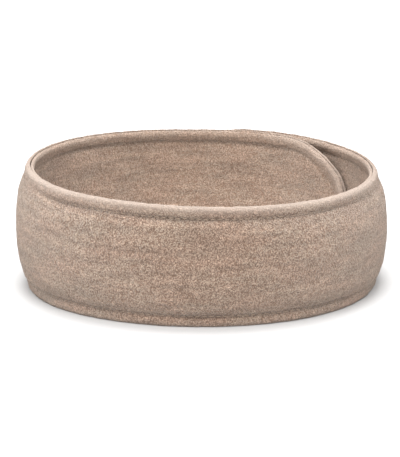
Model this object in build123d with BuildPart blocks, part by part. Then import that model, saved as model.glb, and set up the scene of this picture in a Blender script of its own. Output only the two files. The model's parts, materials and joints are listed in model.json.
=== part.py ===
from build123d import *
from math import acos, asin, atan2, cos, degrees, radians, sin, sqrt
import os

# A towelling spa headband, closed into a ring by a hook-and-loop tab and standing on its lower edge.
# The strip is two towelling panels with a thin wadding between them. Their edges are turned in and
# rolled, and a row of topstitching beside the roll pinches all layers together.
#
# Origin: bottom centre. +X is the wearer's right, -Y the forehead, +Z up, and the rest pose is closed.
# From above, the strip runs from its tab, inside at the back, round the left side and the forehead to
# the right side, and ends outside the tab. Units are millimetres.

# ---- overall sizes -----------------------------------------------------------------------------
half_width = 90.0            # centre to the middle of the wall at its rims, to either side
half_depth = 84.0            # the same, to the front and to the back
front_flattening = 10.0      # how much larger the forehead's radius is than half_width
back_flattening = 24.0       # how much larger the back's radius is than half_width
band_height = 61.5
barrel = 4.3                 # how far the wall bows out at half height

# ---- the padded wall ---------------------------------------------------------------------------
wall_thickness = 6.0
wadding_thickness = 1.0
wadding_trim = 1.0           # between the wadding's edge and the groove
layer_clearance = 0.05       # between each panel and what it covers
roll_radius = 2.6            # rolled edge
roll_flat_depth = 0.15       # how far the lower roll is pressed flat by the table
pinched_thickness = 3.4      # at the topstitching
groove_run = 1.2             # from the roll to the stitched groove's floor
groove_width = 1.6           # of the groove's floor
groove_slope = 1.7           # run of the puff down into the groove
end_groove_width = 1.2       # the groove round a rounded end, which crosses the straight ones
thread_width = 0.6
thread_height = 0.5

# ---- the two ends of the strip -----------------------------------------------------------------
tab_reach = half_width - 13.0            # how far right of centre the tab's tip lies
overlap_reach = 92.0                     # from one tip to the other, straight across
outer_end_reach = overlap_reach - tab_reach    # how far left of centre the outer end's tip lies
round_length = 40.0          # length of each rounded end
round_margin = 1.0           # the rounding starts this much above and below the band

# ---- hook-and-loop -----------------------------------------------------------------------------
tape_height = 34.0
hook_length = 34.0
loop_length = 70.0
hook_thickness = 1.3
loop_thickness = 1.0
tape_clearance = 0.3         # between the hook tape and the loop tape
hook_from_tip = 17.0         # bare towelling between the tab's tip and the hook tape
loop_from_tip = 19.0         # bare towelling between the outer end's tip and the loop tape
tape_stitch_inset = 2.5

# ---- where the strip bends to open -------------------------------------------------------------
body_gap = 0.3               # between pieces that turn apart
left_hinge_angle = 180.0     # on the left side, from +X
right_hinge_angle = 0.0      # on the right side, from +X
tab_root_angle = 83.0        # on the back, from +X

# ---- the wall's section ------------------------------------------------------------------------
# r is measured outwards from the path, z up. The wall's middle is an arc that bows out by barrel.
# A point of the wall is given by n, its distance outwards from that arc, and s, its distance along
# the arc upwards from half height.
half_wall = wall_thickness / 2
layer_offset = wall_thickness + hook_thickness + tape_clearance + loop_thickness
mid_height = band_height / 2
roll_centre_height = roll_radius - roll_flat_depth
half_chord = (band_height - roll_radius - roll_centre_height) / 2
section_centre_height = roll_centre_height + half_chord
barrel_radius = (half_chord**2 + barrel**2) / (2 * barrel)
roll_s = barrel_radius * asin(half_chord / barrel_radius)
roll_quarter = roll_radius * sin(radians(45))
groove_s = roll_s - roll_quarter - groove_run - groove_width / 2
stitch_inset = roll_s + roll_radius - groove_s
wadding_s = groove_s - groove_width / 2 - wadding_trim
groove_floor = pinched_thickness / 2
end_groove_floor = groove_floor - layer_clearance
outermost = barrel + half_wall
innermost = -roll_radius


def wall_point(n, s):
    angle = s / barrel_radius
    r = barrel - barrel_radius + (barrel_radius + n) * cos(angle)
    z = section_centre_height + (barrel_radius + n) * sin(angle)
    return (r, z)


def shifted(point, radius):
    return (point[0] + radius, point[1])


def panel_section(radius, side):
    """One panel with its half of both rolled edges; side is 1 outside and -1 inside."""
    seam = side * layer_clearance
    core = side * (wadding_thickness / 2 + layer_clearance)
    face = side * half_wall
    floor = side * groove_floor

    def at(n, s):
        return shifted(wall_point(n, s), radius)

    def end_outline(up):
        """The outline from the face into the groove, round the roll and back to the core."""
        slope_start = at(face, up * (groove_s - groove_width / 2 - groove_slope))
        floor_start = at(floor, up * (groove_s - groove_width / 2))
        floor_end = at(floor, up * (groove_s + groove_width / 2))
        roll_start = at(side * roll_quarter, up * (roll_s - roll_quarter))
        roll_middle = at(side * roll_radius, up * roll_s)
        roll_end = at(seam, up * (roll_s + sqrt(roll_radius**2 - seam**2)))
        seam_start = at(seam, up * (wadding_s + 2 * layer_clearance))
        core_end = at(core, up * (wadding_s + 2 * layer_clearance))
        Polyline(slope_start, floor_start, floor_end, roll_start)
        ThreePointArc(roll_start, roll_middle, roll_end)
        Polyline(roll_end, seam_start, core_end)
        return slope_start, core_end

    with BuildLine() as outline:
        top_slope, top_core = end_outline(1)
        bottom_slope, bottom_core = end_outline(-1)
        ThreePointArc(top_slope, at(face, 0), bottom_slope)
        ThreePointArc(top_core, at(core, 0), bottom_core)
    make_face(outline.edges())
    with Locations((radius, -roll_radius)):
        Rectangle(4 * wall_thickness, 2 * roll_radius, mode=Mode.SUBTRACT)


def strip_section(radius, n_low, n_high, s_low, s_high):
    """A strip that lies along the wall, such as the wadding, a tape or a thread."""

    def at(n, s):
        return shifted(wall_point(n, s), radius)

    s_mid = (s_low + s_high) / 2
    with BuildLine() as outline:
        ThreePointArc(at(n_low, s_low), at(n_low, s_mid), at(n_low, s_high))
        Line(at(n_low, s_high), at(n_high, s_high))
        ThreePointArc(at(n_high, s_high), at(n_high, s_mid), at(n_high, s_low))
        Line(at(n_high, s_low), at(n_low, s_low))
    make_face(outline.edges())


# ---- the path, seen from above -----------------------------------------------------------------
# A chain of tangent arcs. Each is (centre x, centre y, radius, start angle, end angle), in degrees
# from +X, anticlockwise.


def side_arc(front_centre, front_radius, back_centre, back_radius):
    """Radius and centre of the side arc that touches half_width, the front arc and the back arc."""
    span = front_centre - back_centre
    slope = (back_radius - front_radius) / span
    base = (back_radius**2 - front_radius**2 + front_centre**2 - back_centre**2) / (2 * span)
    linear = 2 * (front_radius - half_width - slope * (base - front_centre))
    constant = (base - front_centre) ** 2 - front_radius**2 + half_width**2
    root = sqrt(linear**2 - 4 * slope**2 * constant)
    radius = -2 * constant / (linear + root)
    return radius, half_width - radius, base - slope * radius


front_radius = half_width + front_flattening
front_centre = front_radius - half_depth
back_radius = half_width + back_flattening
back_centre = half_depth - back_radius
inner_back_radius = back_radius - layer_offset

right_radius, right_x, right_y = side_arc(front_centre, front_radius, back_centre, back_radius)
left_radius, left_x, left_y = side_arc(front_centre, front_radius, back_centre, inner_back_radius)
left_x = -left_x

front_right_angle = degrees(atan2(right_y - front_centre, right_x))
front_left_angle = degrees(atan2(left_y - front_centre, left_x)) % 360
back_right_angle = degrees(atan2(right_y - back_centre, right_x))
back_left_angle = degrees(atan2(left_y - back_centre, left_x))

tab_radius = right_radius - layer_offset
tab_tip_angle = degrees(acos((tab_reach - right_x) / (tab_radius + barrel)))
outer_tip_angle = 90 + degrees(asin(outer_end_reach / (back_radius + barrel)))


def turned(arc_radius, length):
    """The angle that a length takes up on an arc."""
    return degrees(length / arc_radius)


gap_angle_left = turned(left_radius, body_gap / 2)
gap_angle_right = turned(right_radius, body_gap / 2)
gap_angle_tab = turned(inner_back_radius, body_gap / 2)
spare_angle = 6.0            # each rounded end is cut from a wall this much longer

front_path = [
    (left_x, left_y, left_radius, left_hinge_angle + gap_angle_left, front_left_angle),
    (0, front_centre, front_radius, front_left_angle, front_right_angle + 360),
    (right_x, right_y, right_radius, front_right_angle, right_hinge_angle - gap_angle_right),
]
left_path = [
    (left_x, left_y, left_radius, back_left_angle, left_hinge_angle - gap_angle_left),
    (0, back_centre, inner_back_radius, tab_root_angle + gap_angle_tab, back_left_angle),
]
tab_path = [
    (0, back_centre, inner_back_radius, back_right_angle, tab_root_angle - gap_angle_tab),
    (right_x, right_y, tab_radius, tab_tip_angle - spare_angle, back_right_angle),
]
right_path = [
    (right_x, right_y, right_radius, right_hinge_angle + gap_angle_right, back_right_angle),
    (0, back_centre, back_radius, back_right_angle, outer_tip_angle + spare_angle),
]


def section_plane(arc):
    """The plane of the wall's section at the start of an arc: X outwards, Y up, from the centre."""
    x, y, _, start, _ = arc
    outwards = (cos(radians(start)), sin(radians(start)), 0)
    backwards = (sin(radians(start)), -cos(radians(start)), 0)
    return Plane(origin=(x, y, 0), x_dir=outwards, z_dir=backwards)


def centre_axis(arc):
    return Axis((arc[0], arc[1], 0), (0, 0, 1))


def follow(path, section, *sizes, mode=Mode.ADD):
    """Carry a section round every arc of a path."""
    for arc in path:
        with BuildSketch(section_plane(arc)) as face:
            section(arc[2], *sizes)
        revolve(face.sketch, axis=centre_axis(arc), revolution_arc=arc[4] - arc[3], mode=mode)


# ---- the rounded ends --------------------------------------------------------------------------
# Each is drawn on a plane that faces the middle of the rounding. X runs along the band to the tip.


def end_frame(arc, tip_angle, towards_tip):
    """The plane of a rounded end, the tip's place on it and the place where the rounding starts."""
    x, y, radius, _, _ = arc
    half_turn = turned(radius + barrel, round_length / 2)
    middle = radians(tip_angle - towards_tip * half_turn)
    along = (-towards_tip * sin(middle), towards_tip * cos(middle), 0)
    outwards = (towards_tip * cos(middle), towards_tip * sin(middle), 0)
    reach = (radius + barrel) * sin(radians(half_turn))
    place = Vector(x, y, section_centre_height) + (radius + barrel) * Vector(cos(middle), sin(middle), 0)
    plane = Plane(origin=place, x_dir=along, z_dir=Vector(*along).cross(Vector(0, 0, 1)))
    return plane, reach


tab_end = end_frame(tab_path[1], tab_tip_angle, -1)
outer_end = end_frame(right_path[1], outer_tip_angle, 1)
cut_reach = 25.0             # how far a rounding tool reaches through the wall, each way


def round_the_end(end, inset=0.0):
    """Cut away what lies outside the rounded end, or outside a line inset from it."""
    plane, reach = end
    with BuildSketch(plane) as waste:
        with Locations((-reach, 0)):
            Rectangle(4 * reach, 2 * band_height, align=(Align.MIN, Align.CENTER))
            Ellipse(2 * reach - inset, mid_height + round_margin - inset, mode=Mode.SUBTRACT)
    extrude(waste.sketch, amount=cut_reach, both=True, mode=Mode.SUBTRACT)


def end_ring(end, side, width):
    """A band-wide hoop of the given width along the stitch line of a rounded end."""
    plane, reach = end
    half_stitch_height = wall_point(side * groove_floor, groove_s)[1] - section_centre_height
    with BuildSketch(plane) as hoop:
        with Locations((-reach, 0)):
            Ellipse(2 * reach - stitch_inset + width / 2, half_stitch_height + width / 2)
            Ellipse(
                2 * reach - stitch_inset - width / 2, half_stitch_height - width / 2, mode=Mode.SUBTRACT
            )
            Rectangle(4 * reach, 2 * band_height, align=(Align.MAX, Align.CENTER), mode=Mode.SUBTRACT)
    return extrude(hoop.sketch, amount=cut_reach, both=True, mode=Mode.PRIVATE)


def end_strip(path, end, side, width, n_floor, n_top):
    """What a band-wide hoop leaves of a layer of the wall: a thread or its groove round an end."""
    low, high = sorted((side * n_floor, side * n_top))
    with BuildPart(mode=Mode.PRIVATE) as layer:
        follow(path, strip_section, low, high, -roll_s, roll_s)
    return end_ring(end, side, width) & layer.part


os.makedirs("parts", exist_ok=True)
sides = {"outer": 1, "inner": -1}
plain_bodies = {"front": front_path, "left": left_path}
ended_bodies = {"tab": (tab_path, tab_end), "right": (right_path, outer_end)}


def finish(part, name):
    part.label = name
    export_step(part, f"parts/{name}.step")


# ---- towelling panels --------------------------------------------------------------------------
for body, path in plain_bodies.items():
    for layer, side in sides.items():
        with BuildPart() as towelling:
            follow(path, panel_section, side)
        finish(towelling.part, f"{body}_{layer}_towelling")

for body, (path, end) in ended_bodies.items():
    for layer, side in sides.items():
        with BuildPart() as towelling:
            follow(path, panel_section, side)
            round_the_end(end)
            add(end_strip(path, end, side, end_groove_width, end_groove_floor, half_wall + 1), mode=Mode.SUBTRACT)
        finish(towelling.part, f"{body}_{layer}_towelling")

# ---- wadding, trimmed inside the stitching -----------------------------------------------------
half_wadding = wadding_thickness / 2
wadding_size = (-half_wadding, half_wadding, -wadding_s, wadding_s)

for body, path in plain_bodies.items():
    with BuildPart() as wadding:
        follow(path, strip_section, *wadding_size)
    finish(wadding.part, f"{body}_wadding")

for body, (path, end) in ended_bodies.items():
    with BuildPart() as wadding:
        follow(path, strip_section, *wadding_size)
        round_the_end(end, mid_height + round_margin - wadding_s)
    finish(wadding.part, f"{body}_wadding")

# ---- topstitching: a needle thread outside and a bobbin thread inside --------------------------
thread_floor = groove_floor + layer_clearance
thread_top = thread_floor + thread_height


def thread_runs(path, *heights):
    """The two threads of each row of stitching, at the given heights along the wall."""
    for side in sides.values():
        low, high = sorted((side * thread_floor, side * thread_top))
        for s in heights:
            follow(path, strip_section, low, high, s - thread_width / 2, s + thread_width / 2)


for body, path in plain_bodies.items():
    for edge, height in {"top": groove_s, "bottom": -groove_s}.items():
        with BuildPart() as stitching:
            thread_runs(path, height)
        finish(stitching.part, f"{body}_{edge}_stitching")

for body, (path, end) in ended_bodies.items():
    with BuildPart() as stitching:
        thread_runs(path, groove_s, -groove_s)
        plane, reach = end
        with BuildSketch(plane) as rounded:
            with Locations((-reach, 0)):
                Rectangle(4 * reach, 2 * band_height, align=(Align.MIN, Align.CENTER))
        extrude(rounded.sketch, amount=cut_reach, both=True, mode=Mode.SUBTRACT)
        for side in sides.values():
            add(end_strip(path, end, side, thread_width, thread_floor, thread_top))
    finish(stitching.part, f"{body}_edge_stitching")

# ---- hook tape on the tab, loop tape on the outer end ------------------------------------------
hook_start = tab_tip_angle + turned(tab_radius, hook_from_tip)
hook_end = hook_start + turned(tab_radius, hook_length)
loop_end = outer_tip_angle - turned(back_radius, loop_from_tip)
loop_on_back = loop_end - back_right_angle
loop_start = back_right_angle - turned(right_radius, loop_length) + loop_on_back * back_radius / right_radius

tapes = {
    "hook_tape": {
        "path": [(right_x, right_y, tab_radius, hook_start, hook_end)],
        "n": (half_wall, half_wall + hook_thickness),
        "side": 1,
    },
    "loop_tape": {
        "path": [
            (right_x, right_y, right_radius, loop_start, back_right_angle),
            (0, back_centre, back_radius, back_right_angle, loop_end),
        ],
        "n": (-half_wall - loop_thickness, -half_wall),
        "side": -1,
    },
}


def inset_path(path, length):
    """A path with the given length taken off both ends."""
    first, last = path[0], path[-1]
    shorter = list(path)
    shorter[0] = (*first[:3], first[3] + turned(first[2], length), first[4])
    shorter[-1] = (*shorter[-1][:4], last[4] - turned(last[2], length))
    return shorter


def frame_of_thread(tape):
    """A rectangle of stitching, let into the face of a tape."""
    face = tape["n"][1] if tape["side"] == 1 else tape["n"][0]
    low, high = sorted((face, face - tape["side"] * thread_height))
    outer_s = tape_height / 2 - tape_stitch_inset
    inner_s = outer_s - thread_width
    follow(inset_path(tape["path"], tape_stitch_inset), strip_section, low, high, -outer_s, outer_s)
    inner_path = inset_path(tape["path"], tape_stitch_inset + thread_width)
    follow(inner_path, strip_section, low, high, -inner_s, inner_s, mode=Mode.SUBTRACT)


for name, tape in tapes.items():
    with BuildPart() as stitching:
        frame_of_thread(tape)
    with BuildPart() as strip:
        follow(tape["path"], strip_section, *tape["n"], -tape_height / 2, tape_height / 2)
        add(stitching.part, mode=Mode.SUBTRACT)
    finish(strip.part, name)
    finish(stitching.part, f"{name}_stitching")

# ---- hinge lines, upright, for the record ------------------------------------------------------


def upright_line(x, y, radius, angle, r):
    return x + (radius + r) * cos(radians(angle)), y + (radius + r) * sin(radians(angle))


hinge_lines = {
    "left_side": upright_line(left_x, left_y, left_radius, left_hinge_angle, outermost),
    "right_side": upright_line(right_x, right_y, right_radius, right_hinge_angle, outermost),
    "tab_root": upright_line(0, back_centre, inner_back_radius, tab_root_angle, innermost),
}
for name, (x, y) in hinge_lines.items():
    print(f"{name} hinge line at x {x:.3f}, y {y:.3f}")
strip_length = sum(radians(arc[4] - arc[3]) * arc[2] for arc in front_path + left_path + tab_path + right_path)
print(f"strip length about {strip_length - radians(spare_angle) * (tab_radius + back_radius):.0f}")
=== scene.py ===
# Spa headband in beige towelling, closed into a ring and standing on its lower edge.
import json
import random
from math import acos, asin, atan2, cos, pi, radians, sin, sqrt

import bmesh
import bpy
from mathutils import Matrix, Vector, noise

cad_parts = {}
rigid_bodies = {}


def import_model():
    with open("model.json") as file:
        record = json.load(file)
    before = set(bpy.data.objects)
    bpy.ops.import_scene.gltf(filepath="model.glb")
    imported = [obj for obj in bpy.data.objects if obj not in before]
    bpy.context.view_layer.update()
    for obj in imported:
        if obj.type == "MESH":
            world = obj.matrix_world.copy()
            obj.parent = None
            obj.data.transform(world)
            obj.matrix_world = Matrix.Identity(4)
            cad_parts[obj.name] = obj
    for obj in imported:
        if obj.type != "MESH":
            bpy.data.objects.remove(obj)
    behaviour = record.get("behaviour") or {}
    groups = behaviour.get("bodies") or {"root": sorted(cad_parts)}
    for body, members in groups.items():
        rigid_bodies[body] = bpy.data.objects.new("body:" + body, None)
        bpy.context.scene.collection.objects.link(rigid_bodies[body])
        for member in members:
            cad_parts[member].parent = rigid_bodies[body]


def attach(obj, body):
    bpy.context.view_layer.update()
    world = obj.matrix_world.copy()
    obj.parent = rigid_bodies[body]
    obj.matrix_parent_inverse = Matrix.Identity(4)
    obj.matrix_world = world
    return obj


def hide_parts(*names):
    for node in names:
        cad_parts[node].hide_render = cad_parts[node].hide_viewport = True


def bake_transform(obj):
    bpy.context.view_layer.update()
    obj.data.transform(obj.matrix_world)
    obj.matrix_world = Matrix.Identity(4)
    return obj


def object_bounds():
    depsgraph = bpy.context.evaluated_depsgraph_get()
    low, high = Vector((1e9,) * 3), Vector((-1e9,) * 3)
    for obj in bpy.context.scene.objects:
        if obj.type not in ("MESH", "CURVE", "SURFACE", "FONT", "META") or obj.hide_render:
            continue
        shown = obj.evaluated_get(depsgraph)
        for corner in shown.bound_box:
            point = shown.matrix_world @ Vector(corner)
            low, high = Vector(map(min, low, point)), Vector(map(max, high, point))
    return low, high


for leftover in list(bpy.data.objects):     # the new file's cube, lamp and camera
    bpy.data.objects.remove(leftover)
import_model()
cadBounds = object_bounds()
mm = 0.001
perMillimetre = 1 / mm      # what turns metres into millimetres in a pattern

band = {
    "flatFront": 10 * mm,       # how much larger the forehead's radius is than the half width
    "flatBack": 24 * mm,
    "barrel": 4.3 * mm,         # how far the wall bows out at half height
    "thickness": 6 * mm,
    "rollRadius": 2.35 * mm,
    "rollFlat": 0.15 * mm,
    "stitchInset": 6.4 * mm,    # edge to the topstitching
    "layerOffset": 8.6 * mm,    # from the outer end's wall in to the tab's wall
    "tabReach": 77 * mm,
    "outerEndReach": 15 * mm,
    "roundLength": 40 * mm,
    "spacing": 3.0 * mm,        # between the columns of the panels' cloth
    "rise": (1.6, 1.95, 2.0),   # mm that the upper edge stands higher: all round, to the back, to the left
    "drift": 0.9 * mm,          # how far the ring is out of true
    "driftScale": 9,            # per metre
    "driftSeed": 7,
    "tuck": 0.035,              # share of its height that the outer end loses at its tip
    "tuckReach": 70 * mm,
    "lean": 1.9 * mm,           # how far the tab's rim leans out to the layer behind it
    "leanRun": 14 * mm,         # how far it takes to lean that much
    "leanBox": (19 * mm, 60 * mm, 19 * mm),     # upright over the tape: from, to, half height
    "leanEnd": 90 * mm,
}

noise.seed_set(band["driftSeed"])       # unseeded, the drift would differ from run to run
low, high = (Vector(corner) for corner in cadBounds)
bandHeight = high.z
halfWidth = (high.x - low.x) / 2 - band["barrel"] - band["thickness"] / 2
halfDepth = (high.y - low.y) / 2 - band["barrel"] - band["thickness"] / 2
print("band", round(halfWidth / mm, 1), round(halfDepth / mm, 1), round(bandHeight / mm, 1))

rollRadius = band["rollRadius"]
rollCentreHeight = rollRadius - band["rollFlat"]
halfChord = (bandHeight - rollRadius - rollCentreHeight) / 2
sectionCentreHeight = rollCentreHeight + halfChord
barrelRadius = (halfChord**2 + band["barrel"] ** 2) / (2 * band["barrel"])
halfWall = barrelRadius * asin(halfChord / barrelRadius) + rollRadius   # half the height, along the wall


# Radius and centre of the side's arc, which touches the front arc and the back arc.
def sideArc(frontCentre, frontRadius, backCentre, backRadius):
    span = frontCentre - backCentre
    slope = (backRadius - frontRadius) / span
    base = (backRadius**2 - frontRadius**2 + frontCentre**2 - backCentre**2) / (2 * span)
    linear = 2 * (frontRadius - halfWidth - slope * (base - frontCentre))
    constant = (base - frontCentre) ** 2 - frontRadius**2 + halfWidth**2
    radius = -2 * constant / (linear + sqrt(linear**2 - 4 * slope**2 * constant))
    return radius, halfWidth - radius, base - slope * radius


# Tangent arcs from the tab's tip round to the outer end's tip: centre, radius, first angle, last angle.
def makePath():
    frontRadius = halfWidth + band["flatFront"]
    frontY = frontRadius - halfDepth
    backRadius = halfWidth + band["flatBack"]
    backY = halfDepth - backRadius
    innerRadius = backRadius - band["layerOffset"]
    rightRadius, rightX, rightY = sideArc(frontY, frontRadius, backY, backRadius)
    leftRadius, leftX, leftY = sideArc(frontY, frontRadius, backY, innerRadius)
    leftX = -leftX
    tabRadius = rightRadius - band["layerOffset"]
    tabTip = acos((band["tabReach"] - rightX) / (tabRadius + band["barrel"]))
    backRight = atan2(rightY - backY, rightX)
    backLeft = atan2(leftY - backY, leftX)
    frontLeft = atan2(leftY - frontY, leftX) + 2 * pi
    frontRight = atan2(rightY - frontY, rightX) + 2 * pi
    outerTip = pi / 2 + asin(band["outerEndReach"] / (backRadius + band["barrel"])) + 2 * pi
    return [
        (rightX, rightY, tabRadius, tabTip, backRight),
        (0, backY, innerRadius, backRight, backLeft),
        (leftX, leftY, leftRadius, backLeft, frontLeft),
        (0, frontY, frontRadius, frontLeft, frontRight),
        (rightX, rightY, rightRadius, frontRight, backRight + 2 * pi),
        (0, backY, backRadius, backRight + 2 * pi, outerTip),
    ]


path = makePath()
stripLength = sum(arc[2] * (arc[4] - arc[3]) for arc in path)
print("strip length", round(stripLength / mm))


# Length along the strip to an angle, in degrees, on one of the path's arcs.
def alongAtAngle(index, angle):
    before = sum(arc[2] * (arc[4] - arc[3]) for arc in path[:index])
    return before + path[index][2] * (radians(angle) - path[index][3])


# How far out the cloth leans: nothing over the tape, most at the tab's rim, and nothing further round.
def leanOut(along, up):
    start, end, half = band["leanBox"]
    beyond = Vector((max(0.0, start - along), max(0.0, abs(up) - half))).length
    fade = min(1.0, max(0.0, (band["leanEnd"] - along) / (band["leanEnd"] - end)))
    return band["lean"] * min(1.0, beyond / band["leanRun"]) * fade


# From the flat strip to the closed ring: along the strip, up the wall from half height, out of the wall.
def wrap(along, up, out):
    out += leanOut(along, up)
    up *= 1 - band["tuck"] * max(0.0, 1 - (stripLength - along) / band["tuckReach"])
    for x, y, radius, first, last in path:
        turn = along / radius
        if turn <= last - first or radius == path[-1][2]:
            break
        along -= radius * (last - first)
    angle = first + turn
    lean = up / barrelRadius
    reach = radius + band["barrel"] - barrelRadius + (barrelRadius + out) * cos(lean)
    return settle(Vector((x + reach * cos(angle), y + reach * sin(angle),
                          sectionCentreHeight + (barrelRadius + out) * sin(lean))))


# The closed ring isn't quite true: its upper edge rises to the back, and it is a little out of round.
def settle(point):
    share = point.z / bandHeight
    allRound, toBack, toLeft = band["rise"]
    rise = (allRound + toBack * point.y / halfDepth - toLeft * point.x / halfWidth) * mm
    drift = noise.noise_vector(point * band["driftScale"]) * band["drift"]
    return point + Vector((drift.x, drift.y, rise + drift.z)) * share


roundLength = band["roundLength"]
straightStart = roundLength
straightEnd = stripLength - roundLength
focusReach = (roundLength**2 - halfWall**2) / roundLength      # where a round end's normals meet the middle


# Columns round the flat strip: middle point, direction to the edge, distance to the edge.
def outline():
    found = []
    straightCount = round((straightEnd - straightStart) / band["spacing"])
    roundCount = round(pi * sqrt((roundLength**2 + halfWall**2) / 2) / band["spacing"])
    step = (straightEnd - straightStart) / straightCount

    def addRound(start, firstAngle):
        for i in range(roundCount):
            angle = firstAngle - pi * i / roundCount
            edge = Vector((start + roundLength * cos(angle), halfWall * sin(angle)))
            middle = Vector((start + focusReach * cos(angle), 0))
            found.append((middle, (edge - middle).normalized(), (edge - middle).length))

    for i in range(straightCount):
        found.append((Vector((straightStart + i * step, 0)), Vector((0, 1)), halfWall))
    addRound(straightEnd, pi / 2)
    for i in range(straightCount):
        found.append((Vector((straightEnd - i * step, 0)), Vector((0, -1)), halfWall))
    addRound(straightStart, -pi / 2)
    return found


columns = outline()
print("columns", len(columns))

tapeShape = {
    "height": 34 * mm,
    "corner": 3 * mm,
    "web": 0.5 * mm,            # the woven base
    "foot": 2.4 * mm,           # how far out of the wall's middle the base lies
    "stitchInset": 2.5 * mm,
    "bare": 1.2 * mm,           # between the box of stitches and the pile
    "stitchPitch": 2.6 * mm,
    "stitchGap": 0.4 * mm,
    "thread": 0.25 * mm,        # radius
    "threadOut": 0.05 * mm,     # how far above the base the thread lies
    "rooted": 0.05 * mm,        # how deep in the base the hooks and loops start
}
tapes = {
    "hook": {"first": 17 * mm, "last": 51 * mm, "side": 1},
    "loop": {"first": stripLength - 89 * mm, "last": stripLength - 19 * mm, "side": -1},
}
tapeTop = band["thickness"] / 2 + tapeShape["web"]

panel = {
    "core": 0.6 * mm,           # the hidden side, next to the wadding
    "rollAngles": (0, 32, 62, 92, 122),
    "rollFoot": (4.9, 1.75),    # mm: from the edge, out of the wall's middle
    "seamGap": 0.02 * mm,       # from the wall's middle to the roll's crest
    "groove": 0.5 * mm,         # how far out of the wall's middle the stitched groove lies
    "shoulders": ((7.9, 1.95), (10.8, 2.55)),
    "face": 2.85 * mm,
    "faceShares": (0.18, 0.34, 0.5, 0.66, 0.82, 1.0),
    "softOut": 2.15 * mm,       # how far out a soft groove lies, at the tab's end and at the sides
    "softShare": 0.85,
    "softReach": 62 * mm,       # from the tab's tip
    "softSides": (0.78, 0.98),  # shares of the half width
    "subdivision": 2,
    "pressure": 4.0,
    "frames": 20,
    "cap": 0.5 * mm,            # furthest that the cloth may move
    "slack": 0.02,              # spare cloth across the face
    "loopSize": 2.1 * mm,       # tufts, as moulded relief
    "loopHeight": 0.34 * mm,
    "unevenSize": 13 * mm,
    "unevenHeight": 0.6 * mm,
    "groovePile": 0.3,          # share of the relief that the stitches leave
    # Painted highlight where top light falls on the roll: how strong it is at each place round the ring.
    "crestHighlight": (0.8, 0.8, 0.75, 0.5, 0.22, 0.05),      # painted highlight on the roll, from its crest down
    "lowerHighlight": 0.1,           # painted highlight on the lower roll, where the upper one is 1
    "backHighlight": 0.22,
    "frontHighlight": (0.6, 1.3),    # at the sides, and how much more at the forehead
    "highlightRise": 1.4,            # how soon the painted highlight is full, from half height up
    "highlightReach": 75 * mm,       # from the tab's tip
    "paintedGrooveShade": -0.5,             # painted shade in the stitched groove: how dark it is
}
hiddenRows = 4
grooveRow = hiddenRows + len(panel["rollAngles"]) + 1


# Rows across a panel, from the middle of its hidden side round the roll to the middle of its face:
# distance from the edge, share of the way on to the middle, distance out of the wall.
def panelRows():
    rows = [(band["stitchInset"], share, panel["core"]) for share in (1.0, 0.6, 0.2)]
    rows.append((band["stitchInset"] / 2, 0, panel["core"] / 2))
    for angle in panel["rollAngles"]:
        turn = radians(angle)
        rows.append((rollRadius * (1 - cos(turn)), 0, rollRadius * sin(turn) + panel["seamGap"]))
    rows.append((panel["rollFoot"][0] * mm, 0, panel["rollFoot"][1] * mm))
    rows.append((band["stitchInset"], 0, panel["groove"]))
    rows += [(inset * mm, 0, out * mm) for inset, out in panel["shoulders"]]
    return rows + [(rows[-1][0], share, panel["face"]) for share in panel["faceShares"]]


# A row's flat place on a column, and its distance out of the wall.
def rowPlace(column, row):
    middle, outwards, reach = column
    inset, share, out = row
    fromEdge = inset + share * (reach - inset)
    return middle + outwards * (reach - fromEdge), out


# Lengths of cloth from the middle of the face out to each row.
def clothLengths(column, rows):
    lengths = [0.0] * len(rows)
    for k in range(len(rows) - 2, hiddenRows - 1, -1):
        (placeA, outA), (placeB, outB) = rowPlace(column, rows[k]), rowPlace(column, rows[k + 1])
        lengths[k] = lengths[k + 1] + sqrt((placeA - placeB).length_squared + (outA - outB) ** 2)
    return [lengths[max(k, hiddenRows)] for k in range(len(rows))]


def underTape(side, place):
    tape = tapes["hook"] if side == 1 else tapes["loop"]
    return tape["first"] <= place.x <= tape["last"] and abs(place.y) <= tapeShape["height"] / 2


# How soft the groove is at a place of the strip: 1 round the tab's end and at the ring's sides.
def softness(place):
    nearTab = 1 - place.x / panel["softReach"]
    start, end = panel["softSides"]
    nearSide = (abs(wrap(place.x, place.y, 0).x) / halfWidth - start) / (end - start)
    return panel["softShare"] * min(1.0, max(0.0, nearTab, nearSide))


# Painted highlight on the roll, where top light falls: most along the forehead and round the tab's end, less
# at the back and below.
def paintedRollHighlight(k, place):
    nearTab = 1 - place.x / panel["highlightReach"]
    atSides, toFront = panel["frontHighlight"]
    front = atSides - toFront * wrap(place.x, place.y, 0).y / halfDepth
    highlightRound = min(1.0, max(panel["backHighlight"], nearTab, front))
    above = min(1.0, max(panel["lowerHighlight"], place.y / halfWall * panel["highlightRise"], nearTab))
    return panel["crestHighlight"][max(0, k - hiddenRows)] * highlightRound * above


# Distance out of the wall, whether the puffing holds it, how much pile it has, and its painted light:
# highlight on the roll, shade in the groove.
def panelVertex(side, k, place, out, crowding):
    if k > grooveRow and underTape(side, place):
        return tapeShape["foot"], 1.0, 0.0, 0.0
    pale = 0.0
    # pale carries painted light: shade in the stitched groove, highlight on the roll.
    if k == grooveRow:
        pale = panel["paintedGrooveShade"] * (1 - softness(place))
    elif k < grooveRow:
        pale = paintedRollHighlight(k, place)
    if abs(k - grooveRow) < 2:
        out += softness(place) * (panel["softOut"] - out)
    held = 1.0 if k <= grooveRow else 0.0
    pile = 0.0 if k < hiddenRows else panel["groovePile"] if k == grooveRow else crowding
    return out, held, pile, pale


def finishMesh(bm, name):
    mesh = bpy.data.meshes.new(name)
    bm.to_mesh(mesh)
    bm.free()
    return mesh


def addObject(name, data):
    piece = bpy.data.objects.new(name, data)
    bpy.context.scene.collection.objects.link(piece)
    return piece


def closeHoles(bm):
    rim = [edge for edge in bm.edges if edge.is_boundary]
    return bmesh.ops.holes_fill(bm, edges=rim, sides=0)["faces"]


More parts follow.
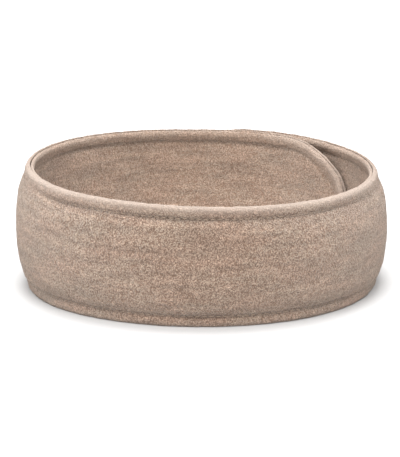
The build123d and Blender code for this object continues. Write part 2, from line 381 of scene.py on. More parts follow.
# A closed pad as long as the strip, from its rows. finishVertex may set each vertex's own values.
def makePad(name, rows, side, finishVertex=None):
    bm = bmesh.new()
    columnCount, rowCount = len(columns) + 1, len(rows)
    pinned = bm.verts.layers.float.new("pinned")
    pile = bm.verts.layers.float.new("pile")
    # Painted light for each vertex: highlight on the roll, shade in the stitched groove.
    paintedLight = bm.verts.layers.float.new("paintedLight")
    uv = bm.loops.layers.uv.new("cloth")
    bmesh.ops.create_grid(bm, x_segments=columnCount - 1, y_segments=rowCount - 1, size=1)
    lengths = [clothLengths(column, rows) for column in columns]
    flatPlace = {}
    for vertex in bm.verts:
        i = round((vertex.co.x + 1) / 2 * (columnCount - 1)) % len(columns)
        k = round((vertex.co.y + 1) / 2 * (rowCount - 1))
        column = columns[i]
        place, out = rowPlace(column, rows[k])
        if finishVertex:
            beside = rowPlace(columns[i - 1], rows[k])[0]
            crowding = min(1.0, (place - beside).length / band["spacing"])      # less pile where columns meet
            values = finishVertex(side, k, place, out, crowding)
            out, vertex[pinned], vertex[pile], vertex[paintedLight] = values
        vertex.co = wrap(place.x, place.y, side * out)
        flatPlace[vertex] = column[0] + column[1] * lengths[i][k]
    for face in bm.faces:
        for loop in face.loops:
            loop[uv].uv = flatPlace[loop.vert]
    bmesh.ops.remove_doubles(bm, verts=bm.verts, dist=0.02 * mm)
    bmesh.ops.recalc_face_normals(bm, faces=bm.faces)
    return addObject(name, finishMesh(bm, name))


def groupFromAttribute(piece, name):
    group = piece.vertex_groups.new(name=name)
    for index, item in enumerate(piece.data.attributes[name].data):
        group.add([index], item.value, "REPLACE")


# Blow the panel up like padded cloth, held at its stitching, and keep the result.
def puff(piece):
    cloth = piece.modifiers.new("puff", "CLOTH")
    cloth.settings.quality = 6
    cloth.settings.mass = 0.05
    cloth.settings.tension_stiffness = 12
    cloth.settings.compression_stiffness = 12
    cloth.settings.bending_stiffness = 0.6
    cloth.settings.use_pressure = True
    cloth.settings.uniform_pressure_force = panel["pressure"]
    cloth.settings.shrink_min = -panel["slack"]
    cloth.settings.vertex_group_mass = "pinned"
    cloth.settings.effector_weights.gravity = 0
    cloth.collision_settings.use_collision = False
    for frameNumber in range(1, panel["frames"] + 1):
        bpy.context.scene.frame_set(frameNumber)
    puffed = piece.evaluated_get(bpy.context.evaluated_depsgraph_get())
    furthest = 0
    for vertex, moved in zip(piece.data.vertices, puffed.to_mesh().vertices):
        move = moved.co - vertex.co
        furthest = max(furthest, move.length)
        vertex.co += move * min(1.0, panel["cap"] / max(move.length, 0.01 * mm))
    puffed.to_mesh_clear()
    piece.modifiers.remove(cloth)
    bpy.context.scene.frame_set(1)
    print("puffed", piece.name, "furthest", round(furthest / mm, 2), "mm")


# Divide the cloth finely, raise the towelling's tufts, and apply both.
def raisePile(piece):
    smooth = piece.modifiers.new("smooth", "SUBSURF")
    smooth.levels = smooth.render_levels = panel["subdivision"]
    reliefs = (
        ("uneven", "CLOUDS", panel["unevenSize"], panel["unevenHeight"]),
        ("tufts", "VORONOI", panel["loopSize"], -panel["loopHeight"]),
    )
    for name, kind, size, height in reliefs:
        texture = bpy.data.textures.new(name, kind)
        texture.noise_scale = size
        raised = piece.modifiers.new(name, "DISPLACE")
        raised.texture = texture
        raised.texture_coords = "UV"
        raised.uv_layer = "cloth"
        raised.vertex_group = "pile"
        raised.strength = height
        raised.mid_level = 0.5
    depsgraph = bpy.context.evaluated_depsgraph_get()
    mesh = bpy.data.meshes.new_from_object(piece.evaluated_get(depsgraph), depsgraph=depsgraph)
    piece.modifiers.clear()
    for vertex in mesh.vertices:        # the lower roll is pressed flat by what it stands on
        vertex.co.z = max(0.0, vertex.co.z)
    piece.data = mesh


# The stretch of a whole panel between two lengths along the strip, closed at its cut ends.
def cutPiece(whole, name, first, last):
    bm = bmesh.new()
    bm.from_mesh(whole.data)
    uv = bm.loops.layers.uv["cloth"]
    trueNormal = bm.verts.layers.float_vector.new("trueNormal")
    for vertex in bm.verts:
        vertex[trueNormal] = vertex.normal
    outside = [
        face for face in bm.faces
        if not first <= sum(loop[uv].uv.x for loop in face.loops) / len(face.loops) < last
    ]
    bmesh.ops.delete(bm, geom=outside, context="FACES")
    bmesh.ops.triangulate(bm, faces=closeHoles(bm))
    mesh = finishMesh(bm, name)
    mesh.polygons.foreach_set("use_smooth", [True] * len(mesh.polygons))
    # The whole panel's own normals are kept, so that no line shows where two pieces meet.
    normals = [item.vector.copy() for item in mesh.attributes["trueNormal"].data]
    mesh.normals_split_custom_set_from_vertices(normals)
    for spent in ("trueNormal", "pinned", "pile"):
        mesh.attributes.remove(mesh.attributes[spent])
    print(name, len(mesh.polygons), "faces")
    return addObject(name, mesh)


# Where the strip is cut into pieces, each reaching across no more than one hinge.
leftSide = 2        # the left side's arc in the path
tabCut = alongAtAngle(leftSide, 128)
leftCut = alongAtAngle(leftSide, 206)
beyond = 1.0        # metres, well past either end of the strip
cuts = {
    "tab": (-beyond, tabCut),
    "left": (tabCut, leftCut),
    "right": (leftCut, stripLength + beyond),
}
pieces = {}
for layer, side in (("outer", 1), ("inner", -1)):
    whole = makePad(layer + "Whole", panelRows(), side, panelVertex)
    groupFromAttribute(whole, "pinned")
    groupFromAttribute(whole, "pile")
    puff(whole)
    raisePile(whole)
    for part, (first, last) in cuts.items():
        pieces[part, layer] = cutPiece(whole, f"{part}_{layer}_panel", first, last)
    bpy.data.objects.remove(whole)

wadding = {"half": 0.45 * mm, "inset": 8.4 * mm, "shares": (0.0, 0.5, 1.0)}


def waddingRows():
    back = [(wadding["inset"], share, -wadding["half"]) for share in reversed(wadding["shares"])]
    return back + [(wadding["inset"], share, wadding["half"]) for share in wadding["shares"]]


whole = makePad("waddingWhole", waddingRows(), 1)
for part, (first, last) in cuts.items():
    pieces[part, "wadding"] = cutPiece(whole, f"{part}_wadding_sheet", first, last)
bpy.data.objects.remove(whole)

stitching = {
    "pitch": 3.4 * mm,
    "gap": 0.5 * mm,            # between one stitch and the next
    "thread": 0.3 * mm,         # radius
    "out": 1.0 * mm,            # how far out of the wall's middle the thread lies
    "follow": 0.9 * mm,         # how much further where the groove is soft
}


# Small shapes are made flat, along x, up y and out z, then stamped where they go. The whole flat piece
# is wrapped round the ring at the end.
def stamp(bm, shape, place):
    copy = shape.copy()
    copy.transform(place)
    bm.from_mesh(copy)
    bpy.data.meshes.remove(copy)


def wrapPiece(bm, name, side):
    for vertex in bm.verts:
        vertex.co = wrap(vertex.co.x, vertex.co.y, side * vertex.co.z)
    bmesh.ops.recalc_face_normals(bm, faces=bm.faces)
    mesh = finishMesh(bm, name)
    mesh.polygons.foreach_set("use_smooth", [True] * len(mesh.polygons))
    print(name, len(mesh.polygons), "faces")
    return addObject(name, mesh)


def stitchShape():
    bm = bmesh.new()
    bmesh.ops.create_icosphere(bm, subdivisions=1, radius=1)
    return finishMesh(bm, "stitch")


# A short thread between two flat places, thin where it goes into the cloth.
def addStitch(bm, start, end, out, radius):
    along = end - start
    middle = (start + end) / 2
    turn = Matrix.Rotation(atan2(along.y, along.x), 4, "Z")
    size = Matrix.Diagonal((along.length / 2, radius, radius, 1))
    stamp(bm, stitch, Matrix.Translation((middle.x, middle.y, out)) @ turn @ size)


# Start and end of each stitch along a closed flat line.
def stitchLine(corners, pitch, gap):
    lengths = [(b - a).length for a, b in zip(corners, corners[1:] + corners[:1])]
    total = sum(lengths)
    count = round(total / pitch)
    step = total / count

    def placeAt(length):
        length %= total
        for corner, following, size in zip(corners, corners[1:] + corners[:1], lengths):
            if length <= size:
                return corner.lerp(following, length / size)
            length -= size
        return corners[0]

    return [(placeAt(i * step + gap / 2), placeAt((i + 1) * step - gap / 2)) for i in range(count)]


# The row of stitches beside the rolled edge, on both faces and round both ends.
def makeStitching():
    line = [rowPlace(column, (band["stitchInset"], 0, 0))[0] for column in columns]
    stitches = stitchLine(line, stitching["pitch"], stitching["gap"])
    for part, (first, last) in cuts.items():
        for layer, side in (("outer", 1), ("inner", -1)):
            bm = bmesh.new()
            for start, end in stitches:
                if first <= (start.x + end.x) / 2 < last:
                    out = stitching["out"] + stitching["follow"] * softness(start)
                    addStitch(bm, start, end, out, stitching["thread"])
            pieces[part, layer + "Stitching"] = wrapPiece(bm, f"{part}_{layer}_topstitching", side)


stitch = stitchShape()
makeStitching()

hooks = {
    "pitch": 1.5 * mm,
    "height": 0.75 * mm,
    "reach": 0.32 * mm,         # how far the tip bends over
    "tipHeight": 0.62,          # share of the height
    "radius": 0.13 * mm,
    "taper": (1.5, 1.0, 0.6),   # how thick it is at its foot, bend and tip
    "sides": 5,
}
loops = {
    "pitch": 1.7 * mm,
    "height": 0.42 * mm,
    "radius": 0.07 * mm,
    "sides": 4,
    "steps": 5,
    "wander": 0.4 * mm,
    "seed": 5,
}


# A woven tape with rounded corners.
def makeTape(name, tape):
    bm = bmesh.new()
    uv = bm.loops.layers.uv.new("cloth")
    halfLength = (tape["last"] - tape["first"]) / 2
    halfHeight = tapeShape["height"] / 2
    corner = tapeShape["corner"]
    bmesh.ops.create_grid(
        bm,
        x_segments=round(halfLength / mm),
        y_segments=round(halfHeight / mm),
        size=1,
        matrix=Matrix.Diagonal((halfLength, halfHeight, 1, 1)),
    )
    for vertex in bm.verts:
        overX, overY = abs(vertex.co.x) - halfLength + corner, abs(vertex.co.y) - halfHeight + corner
        if overX > 0 and overY > 0:     # pull the square corner in to its arc
            spare = 1 - max(overX, overY) / sqrt(overX**2 + overY**2)
            vertex.co.x -= overX * spare * (1 if vertex.co.x > 0 else -1)
            vertex.co.y -= overY * spare * (1 if vertex.co.y > 0 else -1)
    middle = (tape["first"] + tape["last"]) / 2
    bmesh.ops.translate(bm, verts=bm.verts, vec=(middle, 0, tapeShape["foot"]))
    for face in bm.faces:
        for loop in face.loops:
            loop[uv].uv = loop.vert.co.xy
    raised = bmesh.ops.extrude_face_region(bm, geom=list(bm.faces), use_keep_orig=True)["geom"]
    raised = [element for element in raised if isinstance(element, bmesh.types.BMVert)]
    bmesh.ops.translate(bm, verts=raised, vec=(0, 0, tapeTop - tapeShape["foot"]))
    return wrapPiece(bm, name, tape["side"])


# Evenly spaced places inside the tape's box of stitches.
def tapeSpots(tape, pitch):
    margin = tapeShape["stitchInset"] + tapeShape["bare"]
    length = tape["last"] - tape["first"] - 2 * margin
    height = tapeShape["height"] - 2 * margin
    for i in range(round(length / pitch) + 1):
        for j in range(round(height / pitch) + 1):
            up = -height / 2 + (j + i % 2 / 2) * pitch
            if up <= height / 2:
                yield tape["first"] + margin + i * pitch, up, j


# A leaning stem with a short tip bent over.
def hookShape():
    bm = bmesh.new()
    foot = Vector((0, 0, -tapeShape["rooted"]))
    bend = Vector((0, 0, hooks["height"]))
    tip = Vector((hooks["reach"], 0, hooks["height"] * hooks["tipHeight"]))
    atFoot, atBend, atTip = hooks["taper"]
    for start, end, wide, thin in ((foot, bend, atFoot, atBend), (bend, tip, atBend, atTip)):
        stem = end - start
        turn = stem.to_track_quat("Z", "Y").to_matrix().to_4x4()
        bmesh.ops.create_cone(
            bm,
            cap_ends=True,
            segments=hooks["sides"],
            radius1=hooks["radius"] * wide,
            radius2=hooks["radius"] * thin,
            depth=stem.length,
            matrix=Matrix.Translation((start + end) / 2) @ turn,
        )
    return finishMesh(bm, "hook")


# Half a ring of brushed yarn standing on its tape.
def loopShape():
    bm = bmesh.new()
    start = Matrix.Translation((loops["height"], 0, -tapeShape["rooted"]))
    ring = bmesh.ops.create_circle(bm, segments=loops["sides"], radius=loops["radius"], matrix=start)["verts"]
    edges = list({edge for vertex in ring for edge in vertex.link_edges})
    bmesh.ops.spin(bm, geom=ring + edges, cent=(0, 0, 0), axis=(0, 1, 0), angle=-pi, steps=loops["steps"])
    closeHoles(bm)
    return finishMesh(bm, "loop")


# The hooks stand in rows that lean both ways, the loops lie every way.
def makeHooks(tape):
    bm = bmesh.new()
    shape = hookShape()
    for along, up, j in tapeSpots(tape, hooks["pitch"]):
        turn = Matrix.Rotation(pi * (j % 2), 4, "Z")
        stamp(bm, shape, Matrix.Translation((along, up, tapeTop)) @ turn)
    return wrapPiece(bm, "hook_tape_hooks", tape["side"])


def makeLoops(tape):
    bm = bmesh.new()
    shape = loopShape()
    chance = random.Random(loops["seed"])
    for along, up, j in tapeSpots(tape, loops["pitch"]):
        along += chance.uniform(-1, 1) * loops["wander"]
        up += chance.uniform(-1, 1) * loops["wander"]
        turn = Matrix.Rotation(chance.uniform(0, 2 * pi), 4, "Z")
        stamp(bm, shape, Matrix.Translation((along, up, tapeTop)) @ turn)
    return wrapPiece(bm, "loop_tape_loops", tape["side"])


# A box of stitches that holds the tape to its panel.
def makeTapeStitching(name, tape):
    bm = bmesh.new()
    inset = tapeShape["stitchInset"]
    left, right = tape["first"] + inset, tape["last"] - inset
    up = tapeShape["height"] / 2 - inset
    corners = [Vector((left, up)), Vector((right, up)), Vector((right, -up)), Vector((left, -up))]
    for start, end in stitchLine(corners, tapeShape["stitchPitch"], tapeShape["stitchGap"]):
        addStitch(bm, start, end, tapeTop + tapeShape["threadOut"], tapeShape["thread"])
    return wrapPiece(bm, name, tape["side"])


tapePieces = {
    "hook": {
        "web": makeTape("hook_tape_web", tapes["hook"]),
        "pile": makeHooks(tapes["hook"]),
        "stitching": makeTapeStitching("hook_tape_box_stitching", tapes["hook"]),
    },
    "loop": {
        "web": makeTape("loop_tape_web", tapes["loop"]),
        "pile": makeLoops(tapes["loop"]),
        "stitching": makeTapeStitching("loop_tape_box_stitching", tapes["loop"]),
    },
}
print("tapes made")


def newMaterial(name):
    material = bpy.data.materials.new(name)
    material.use_nodes = True
    return material, material.node_tree, material.node_tree.nodes["Principled BSDF"]


# A node group with named sockets: {name: (socket kind, first value)} in, {name: socket kind} out.
def newGroup(name, inputs, outputs):
    tree = bpy.data.node_groups.new(name, "ShaderNodeTree")
    for label, (kind, value) in inputs.items():
        socket = tree.interface.new_socket(label, in_out="INPUT", socket_type=kind)
        if kind != "NodeSocketVector":
            socket.default_value = value
    for label, kind in outputs.items():
        tree.interface.new_socket(label, in_out="OUTPUT", socket_type=kind)
    return tree, tree.nodes.new("NodeGroupInput").outputs, tree.nodes.new("NodeGroupOutput").inputs


# Connects a value, which is a socket or a number, to an input.
def feed(tree, value, socket):
    if isinstance(value, bpy.types.NodeSocket):
        tree.links.new(value, socket)
    else:
        socket.default_value = value


def feedAll(tree, node, values):
    for label, value in values.items():
        feed(tree, value, node.inputs[label])


def mathNode(tree, operation, *values, clamp=False):
    node = tree.nodes.new("ShaderNodeMath")
    node.operation = operation
    node.use_clamp = clamp
    for value, socket in zip(values, node.inputs):
        feed(tree, value, socket)
    return node.outputs[0]


def vectorNode(tree, operation, *values):
    node = tree.nodes.new("ShaderNodeVectorMath")
    node.operation = operation
    for value, socket in zip(values, node.inputs):
        feed(tree, value, socket)
    return node.outputs[0]


def scaled(tree, vector, factor):
    node = tree.nodes.new("ShaderNodeVectorMath")
    node.operation = "SCALE"
    feedAll(tree, node, {"Vector": vector, "Scale": factor})
    return node.outputs[0]


def stretched(tree, vector, factors):
    return vectorNode(tree, "MULTIPLY", vector, factors)


def noiseNode(tree, vector, scale, detail=2.0, roughness=0.5):
    node = tree.nodes.new("ShaderNodeTexNoise")
    feedAll(tree, node, {"Vector": vector, "Scale": scale, "Detail": detail, "Roughness": roughness})
    return node.outputs


def cellDistance(tree, vector, scale):
    node = tree.nodes.new("ShaderNodeTexVoronoi")
    feedAll(tree, node, {"Vector": vector, "Scale": scale})
    return node.outputs["Distance"]


def rangeNode(tree, value, fromMin, fromMax, toMin=0.0, toMax=1.0):
    node = tree.nodes.new("ShaderNodeMapRange")
    feedAll(tree, node, {
        "Value": value, "From Min": fromMin, "From Max": fromMax, "To Min": toMin, "To Max": toMax,
    })
    return node.outputs[0]


def mixColours(tree, share, first, second):
    node = tree.nodes.new("ShaderNodeMix")
    node.data_type = "RGBA"
    feedAll(tree, node, {"Factor": share, "A": first, "B": second})
    return node.outputs["Result"]


# Patterns in the towelling, whose scales are per millimetre of cloth.
terry = {
    "wobbleScale": 0.55,
    "wobble": 1.6,              # mm that a loop strays
    "loopStretch": (1.15, 0.85, 1.0),
    "loopShade": (0.12, 0.72),  # where a loop's tip ends and its shadow is full
    "fine": (1.75, 3.0, 0.65),  # scale, detail, roughness
    "fineShare": 2.5,
    "fibreScale": 4.5,
    "tuftScale": 0.32,
    "tuftShare": 0.26,
    "streakStretch": (0.035, 0.3, 1.0),
    "patchStretch": (0.6, 1.3, 1.0),
    "patchScale": 0.07,
    "darker": -0.16,
    "heights": (0.6, 0.8, 0.25),    # of the loops, the fine grain and the fibres
    "tipRoughness": 0.88,
}


# Terry towelling: looped pile in uneven tufts, streaked along the strip, in two close shades of dye.
def makeTowellingGroup():
    tree, given, made = newGroup(
        "terryPile",
        {
            "Cloth": ("NodeSocketVector", None),
            "Warm": ("NodeSocketColor", (0.5, 0.4, 0.3, 1)),
            "Cool": ("NodeSocketColor", (0.5, 0.4, 0.3, 1)),
            "Shadow": ("NodeSocketColor", (0.2, 0.15, 0.1, 1)),
            "Loop Width": ("NodeSocketFloat", 0.9),
            "Streak": ("NodeSocketFloat", 0.2),
        },
        {"Color": "NodeSocketColor", "Height": "NodeSocketFloat", "Roughness": "NodeSocketFloat"},
    )
    place = scaled(tree, given["Cloth"], perMillimetre)
    wobble = noiseNode(tree, place, terry["wobbleScale"], 1.0)["Color"]
    wobble = scaled(tree, vectorNode(tree, "SUBTRACT", wobble, (0.5, 0.5, 0.5)), terry["wobble"])
    place = vectorNode(tree, "ADD", place, wobble)
    density = mathNode(tree, "DIVIDE", 1.0, given["Loop Width"])
    cells = cellDistance(tree, stretched(tree, place, terry["loopStretch"]), density)
    tip = rangeNode(tree, cells, *terry["loopShade"], 1.0, 0.0)
    fine = noiseNode(tree, place, *terry["fine"])["Fac"]
    fibres = noiseNode(tree, place, terry["fibreScale"], 1.0)["Fac"]
    tufts = rangeNode(tree, noiseNode(tree, place, terry["tuftScale"])["Fac"], 0.3, 0.7)
    streaks = noiseNode(tree, stretched(tree, place, terry["streakStretch"]), 1.0)["Fac"]
    patches = noiseNode(tree, stretched(tree, place, terry["patchStretch"]), terry["patchScale"])["Fac"]

    lit = mathNode(tree, "MULTIPLY", mathNode(tree, "SUBTRACT", fine, 0.5), terry["fineShare"])
    lit = mathNode(tree, "ADD", tip, lit)
    lit = mathNode(tree, "ADD", lit, mathNode(tree, "MULTIPLY", tufts, terry["tuftShare"]))
    lit = mathNode(tree, "ADD", lit, terry["darker"], clamp=True)
    dye = mixColours(tree, rangeNode(tree, patches, 0.38, 0.62), given["Warm"], given["Cool"])
    colour = mixColours(tree, lit, given["Shadow"], dye)
    bright = mathNode(tree, "SUBTRACT", rangeNode(tree, streaks, 0.35, 0.65), 0.5)
    bright = mathNode(tree, "MULTIPLY_ADD", bright, given["Streak"], 1.0)
    tree.links.new(scaled(tree, colour, bright), made["Color"])

    loopHeight, fineHeight, fibreHeight = terry["heights"]
    loopRelief = mathNode(tree, "MULTIPLY", tip, loopHeight)
    height = mathNode(tree, "ADD", loopRelief, mathNode(tree, "MULTIPLY", fine, fineHeight))
    height = mathNode(tree, "MULTIPLY_ADD", fibres, fibreHeight, height)
    tree.links.new(height, made["Height"])
    tree.links.new(rangeNode(tree, tip, 0.0, 1.0, 1.0, terry["tipRoughness"]), made["Roughness"])
    return tree


# A plain weave of warp and weft threads, each row crossing over the last.
def makeWeaveGroup():
    tree, given, made = newGroup(
        "plainWeave",
        {
            "Cloth": ("NodeSocketVector", None),
            "Yarn": ("NodeSocketColor", (0.5, 0.4, 0.3, 1)),
            "Gap": ("NodeSocketColor", (0.2, 0.15, 0.1, 1)),
            "Threads": ("NodeSocketFloat", 1.6),
        },
        {"Color": "NodeSocketColor", "Height": "NodeSocketFloat"},
    )
    place = scaled(tree, given["Cloth"], mathNode(tree, "MULTIPLY", given["Threads"], perMillimetre * pi))
    split = tree.nodes.new("ShaderNodeSeparateXYZ")
    tree.links.new(place, split.inputs[0])
    warp = mathNode(tree, "SINE", split.outputs["X"])
    weft = mathNode(tree, "SINE", split.outputs["Y"])
    over = mathNode(tree, "MULTIPLY", warp, weft)
    height = mathNode(tree, "ABSOLUTE", over)
    grain = noiseNode(tree, place, 0.9)["Fac"]
    share = mathNode(tree, "ADD", height, mathNode(tree, "MULTIPLY", grain, 0.6), clamp=True)
    tree.links.new(mixColours(tree, share, given["Gap"], given["Yarn"]), made["Color"])
    tree.links.new(mathNode(tree, "MULTIPLY_ADD", over, 0.4, height), made["Height"])
    return tree


# Two-ply twist: slanting ridges that follow the thread round the ring.
def makeTwistGroup():
    tree, given, made = newGroup(
        "twistedYarn",
        {
            "Object": ("NodeSocketVector", None),
            "Light": ("NodeSocketColor", (0.5, 0.4, 0.3, 1)),
            "Dark": ("NodeSocketColor", (0.2, 0.15, 0.1, 1)),
        },
        {"Color": "NodeSocketColor", "Height": "NodeSocketFloat"},
    )
    place = scaled(tree, given["Object"], perMillimetre)
    wave = tree.nodes.new("ShaderNodeTexWave")
    wave.bands_direction = "DIAGONAL"
    tree.links.new(place, wave.inputs["Vector"])
    wave.inputs["Scale"].default_value = 0.55
    wave.inputs["Distortion"].default_value = 1.5
    ridges = mathNode(tree, "MULTIPLY", wave.outputs["Fac"], 0.6)
    grain = mathNode(tree, "MULTIPLY", noiseNode(tree, place, 3.0)["Fac"], 0.5)
    share = mathNode(tree, "ADD", ridges, grain, clamp=True)
    tree.links.new(mixColours(tree, share, given["Dark"], given["Light"]), made["Color"])
    tree.links.new(share, made["Height"])
    return tree


def groupNode(tree, group, values):
    node = tree.nodes.new("ShaderNodeGroup")
    node.node_tree = group
    feedAll(tree, node, values)
    return node.outputs


def coordinate(tree, kind):
    if kind == "Cloth":
        node = tree.nodes.new("ShaderNodeUVMap")
        node.uv_map = "cloth"
        return node.outputs["UV"]
    return tree.nodes.new("ShaderNodeTexCoord").outputs["Object"]


def bumpInto(tree, shader, height, distance, strength=1.0):
    bump = tree.nodes.new("ShaderNodeBump")
    bump.inputs["Distance"].default_value = distance
    bump.inputs["Strength"].default_value = strength
    tree.links.new(height, bump.inputs["Height"])
    tree.links.new(bump.outputs["Normal"], shader.inputs["Normal"])


finishes = {
    "outerTowelling": {
        "warm": (0.58, 0.402, 0.302, 1),
        "cool": (0.56, 0.43, 0.33, 1),
        "shadow": (0.18, 0.114, 0.08, 1),
    },
    "innerTowelling": {
        "warm": (0.7, 0.5, 0.385, 1),
        "cool": (0.68, 0.525, 0.415, 1),
        "shadow": (0.28, 0.18, 0.125, 1),
    },
    # Painted highlight colour, mixed over the upper roll where top light falls.
    "pale": (0.6, 0.485, 0.41, 1),
    "rollHighlightShare": 0.85,       # how strongly the painted highlight shows over the upper roll
    "loopWidth": 0.66,          # mm
    "streak": 0.32,
    "pileDepth": 1.1 * mm,
    "sheen": 0.55,
    "thread": {"light": (0.36, 0.27, 0.2, 1), "dark": (0.2, 0.14, 0.1, 1)},
    "hookTape": {"yarn": (0.42, 0.33, 0.25, 1), "gap": (0.2, 0.15, 0.11, 1)},
    "loopTape": {"yarn": (0.46, 0.36, 0.28, 1), "gap": (0.22, 0.17, 0.12, 1)},
    "threads": 1.4,             # of the tapes' weave, to a millimetre
    "hookPlastic": (0.5, 0.41, 0.32, 1),
    "brushedLoops": (0.5, 0.4, 0.31, 1),
    "wadding": (0.78, 0.75, 0.69, 1),
}


def towellingMaterial(name, dye):
    material, tree, shader = newMaterial(name)
    pile = groupNode(tree, terryPile, {
        "Cloth": coordinate(tree, "Cloth"),
        "Warm": dye["warm"],
        "Cool": dye["cool"],
        "Shadow": dye["shadow"],
        "Loop Width": finishes["loopWidth"],
        "Streak": finishes["streak"],
    })
    # Painted light from the mesh: the roll mixed towards the highlight colour, the stitched groove darkened
    # as painted shade.
    paintedLight = tree.nodes.new("ShaderNodeAttribute")
    paintedLight.attribute_name = "paintedLight"
    share = mathNode(tree, "MULTIPLY", paintedLight.outputs["Fac"], finishes["rollHighlightShare"], clamp=True)
    paintedGrooveShaded = mathNode(tree, "ADD", mathNode(tree, "MINIMUM", paintedLight.outputs["Fac"], 0.0), 1.0)
    dyed = scaled(tree, pile["Color"], paintedGrooveShaded)
    tree.links.new(mixColours(tree, share, dyed, finishes["pale"]), shader.inputs["Base Color"])
    tree.links.new(pile["Roughness"], shader.inputs["Roughness"])
    shader.inputs["Specular IOR Level"].default_value = 0.15
    shader.inputs["Sheen Weight"].default_value = finishes["sheen"]
    shader.inputs["Sheen Roughness"].default_value = 0.45
    shader.inputs["Sheen Tint"].default_value = (1.0, 0.9, 0.82, 1)
    bumpInto(tree, shader, pile["Height"], finishes["pileDepth"], 0.9)
    return material


def weaveMaterial(name, dye):
    material, tree, shader = newMaterial(name)
    weave = groupNode(tree, plainWeave, {
        "Cloth": coordinate(tree, "Cloth"),
        "Yarn": dye["yarn"],
        "Gap": dye["gap"],
        "Threads": finishes["threads"],
    })
    tree.links.new(weave["Color"], shader.inputs["Base Color"])
    shader.inputs["Roughness"].default_value = 0.75
    bumpInto(tree, shader, weave["Height"], 0.15 * mm)
    return material


def threadMaterial(name, dye, roughness):
    material, tree, shader = newMaterial(name)
    yarn = groupNode(tree, twistedYarn, {
        "Object": coordinate(tree, "Object"),
        "Light": dye["light"],
        "Dark": dye["dark"],
    })
    tree.links.new(yarn["Color"], shader.inputs["Base Color"])
    shader.inputs["Roughness"].default_value = roughness
    shader.inputs["Sheen Weight"].default_value = 0.15
    bumpInto(tree, shader, yarn["Height"], 0.08 * mm)
    return material


def shade(colour, factor):
    return tuple(value * factor for value in colour[:3]) + (1,)


# Moulded nylon, faintly clouded.
def hookPlasticMaterial():
    material, tree, shader = newMaterial("hookNylon")
    place = scaled(tree, coordinate(tree, "Object"), perMillimetre)
    cloud = noiseNode(tree, place, 0.8)["Fac"]
    pale = shade(finishes["hookPlastic"], 1.12)
    tree.links.new(mixColours(tree, cloud, finishes["hookPlastic"], pale), shader.inputs["Base Color"])
    tree.links.new(rangeNode(tree, cloud, 0.2, 0.8, 0.28, 0.42), shader.inputs["Roughness"])
    shader.inputs["Subsurface Weight"].default_value = 0.15
    shader.inputs["Subsurface Scale"].default_value = 0.5 * mm
    return material


def brushedLoopMaterial():
    material, tree, shader = newMaterial("brushedLoopYarn")
    place = scaled(tree, coordinate(tree, "Object"), perMillimetre)
    fuzz = noiseNode(tree, place, 1.7, 3.0)["Fac"]
    dark = shade(finishes["brushedLoops"], 0.7)
    tree.links.new(mixColours(tree, fuzz, dark, finishes["brushedLoops"]), shader.inputs["Base Color"])
    shader.inputs["Roughness"].default_value = 0.85
    shader.inputs["Sheen Weight"].default_value = 0.3
    bumpInto(tree, shader, fuzz, 0.1 * mm)
    return material


# Needled polyester wadding: matted fibres, slightly uneven.
def waddingMaterial():
    material, tree, shader = newMaterial("needledWadding")
    place = scaled(tree, coordinate(tree, "Cloth"), perMillimetre)
    fibres = noiseNode(tree, stretched(tree, place, (0.5, 2.2, 1.0)), 0.9, 5.0, 0.7)["Fac"]
    dark = shade(finishes["wadding"], 0.82)
    matted = mixColours(tree, rangeNode(tree, fibres, 0.3, 0.7), dark, finishes["wadding"])
    tree.links.new(matted, shader.inputs["Base Color"])
    shader.inputs["Roughness"].default_value = 0.95
    bumpInto(tree, shader, fibres, 0.4 * mm)
    return material


terryPile = makeTowellingGroup()
plainWeave = makeWeaveGroup()
twistedYarn = makeTwistGroup()
materials = {
    "outer": towellingMaterial("outerTowelling", finishes["outerTowelling"]),
    "inner": towellingMaterial("innerTowelling", finishes["innerTowelling"]),
    "wadding": waddingMaterial(),
    "thread": threadMaterial("topstitchThread", finishes["thread"], 0.7),
    "tapeThread": threadMaterial("tapeThread", finishes["thread"], 0.6),
    "hookWeb": weaveMaterial("hookTapeWeave", finishes["hookTape"]),
    "loopWeb": weaveMaterial("loopTapeWeave", finishes["loopTape"]),
    "hookPile": hookPlasticMaterial(),
    "loopPile": brushedLoopMaterial(),
}


def dress(piece, material):
    piece.data.materials.clear()
    piece.data.materials.append(material)


# The CAD parts that each stretch of the strip stands in for, which are hidden.
standsFor = {
    ("tab", "outer"): ["tab_outer_towelling"],
    ("tab", "inner"): ["tab_inner_towelling"],
    ("tab", "wadding"): ["tab_wadding"],
    ("tab", "outerStitching"): ["tab_edge_stitching"],
    ("left", "outer"): ["left_outer_towelling"],
    ("left", "inner"): ["left_inner_towelling"],
    ("left", "wadding"): ["left_wadding"],
    ("left", "outerStitching"): ["left_top_stitching", "left_bottom_stitching"],
    ("right", "outer"): ["front_outer_towelling", "right_outer_towelling"],
    ("right", "inner"): ["front_inner_towelling", "right_inner_towelling"],
    ("right", "wadding"): ["front_wadding", "right_wadding"],
    ("right", "outerStitching"): [
        "front_top_stitching", "front_bottom_stitching", "right_edge_stitching",
    ],
}
slots = {"outer": "outer_towelling", "inner": "inner_towelling", "wadding": "wadding"}
for (part, layer), piece in pieces.items():
    if layer in slots:
        dress(piece, materials[layer])
    else:
        dress(piece, materials["thread"])
    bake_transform(piece)
    if (part, layer) in standsFor:
        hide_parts(*standsFor[part, layer])

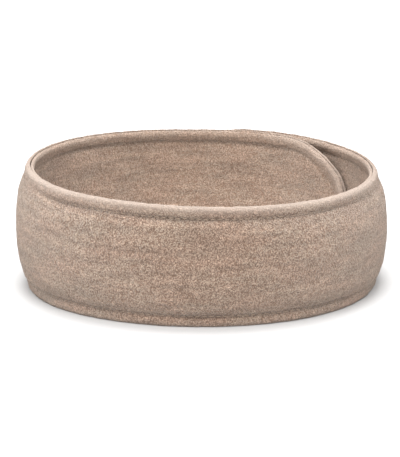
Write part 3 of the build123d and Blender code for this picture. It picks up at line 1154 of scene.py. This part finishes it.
tapeBodies = {"hook": "fastening_tab", "loop": "right_wing"}
for kind, made in tapePieces.items():
    dress(made["web"], materials[kind + "Web"])
    dress(made["pile"], materials[kind + "Pile"])
    dress(made["stitching"], materials["tapeThread"])
    for piece in made.values():
        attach(piece, tapeBodies[kind])
    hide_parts(kind + "_tape")
    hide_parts(kind + "_tape_stitching")

studio = {
    "floorSize": 8.0,           # metres from its middle to its edge
    "floorColour": (0.6, 0.6, 0.6, 1),
    "sky": 0.72,
    "lamps": {                  # strength, where it shines from, and how soft it is in degrees
        "frontLight": (3.2, (-0.12, -0.8, 1.0), 60),
        "topLight": (2.7, (0.0, 0.2, 1.0), 30),
    },
    "cameraDistance": 1.136,
    "cameraElevation": 14.9,    # degrees
    "cameraTarget": 30 * mm,    # height
    "lens": 169.37,
    "shift": (-0.0044, -0.0094),
}


def makeStudio():
    bm = bmesh.new()
    bmesh.ops.create_grid(bm, x_segments=1, y_segments=1, size=studio["floorSize"])
    floor = addObject("floor", finishMesh(bm, "floor"))
    material, tree, shader = newMaterial("palePaper")
    shader.inputs["Base Color"].default_value = studio["floorColour"]
    shader.inputs["Roughness"].default_value = 0.9
    floor.data.materials.append(material)

    world = bpy.data.worlds.new("studio")
    bpy.context.scene.world = world
    world.use_nodes = True
    world.node_tree.nodes["Background"].inputs["Color"].default_value = (1, 1, 1, 1)
    world.node_tree.nodes["Background"].inputs["Strength"].default_value = studio["sky"]
    for name, (strength, shinesFrom, width) in studio["lamps"].items():
        lamp = bpy.data.lights.new(name, "SUN")
        lamp.energy = strength
        lamp.angle = radians(width)
        light = addObject(name, lamp)
        light.rotation_euler = Vector(shinesFrom).to_track_quat("Z", "Y").to_euler()

    lens = bpy.data.cameras.new("camera")
    lens.lens = studio["lens"]
    lens.shift_x, lens.shift_y = studio["shift"]
    camera = addObject("camera", lens)
    tilt = radians(studio["cameraElevation"])
    target = Vector((0, 0, studio["cameraTarget"]))
    away = Vector((0, -cos(tilt), sin(tilt)))
    camera.location = target + away * studio["cameraDistance"]
    camera.rotation_euler = away.to_track_quat("Z", "Y").to_euler()
    bpy.context.scene.camera = camera
    bpy.context.scene.view_settings.view_transform = "Standard"


makeStudio()
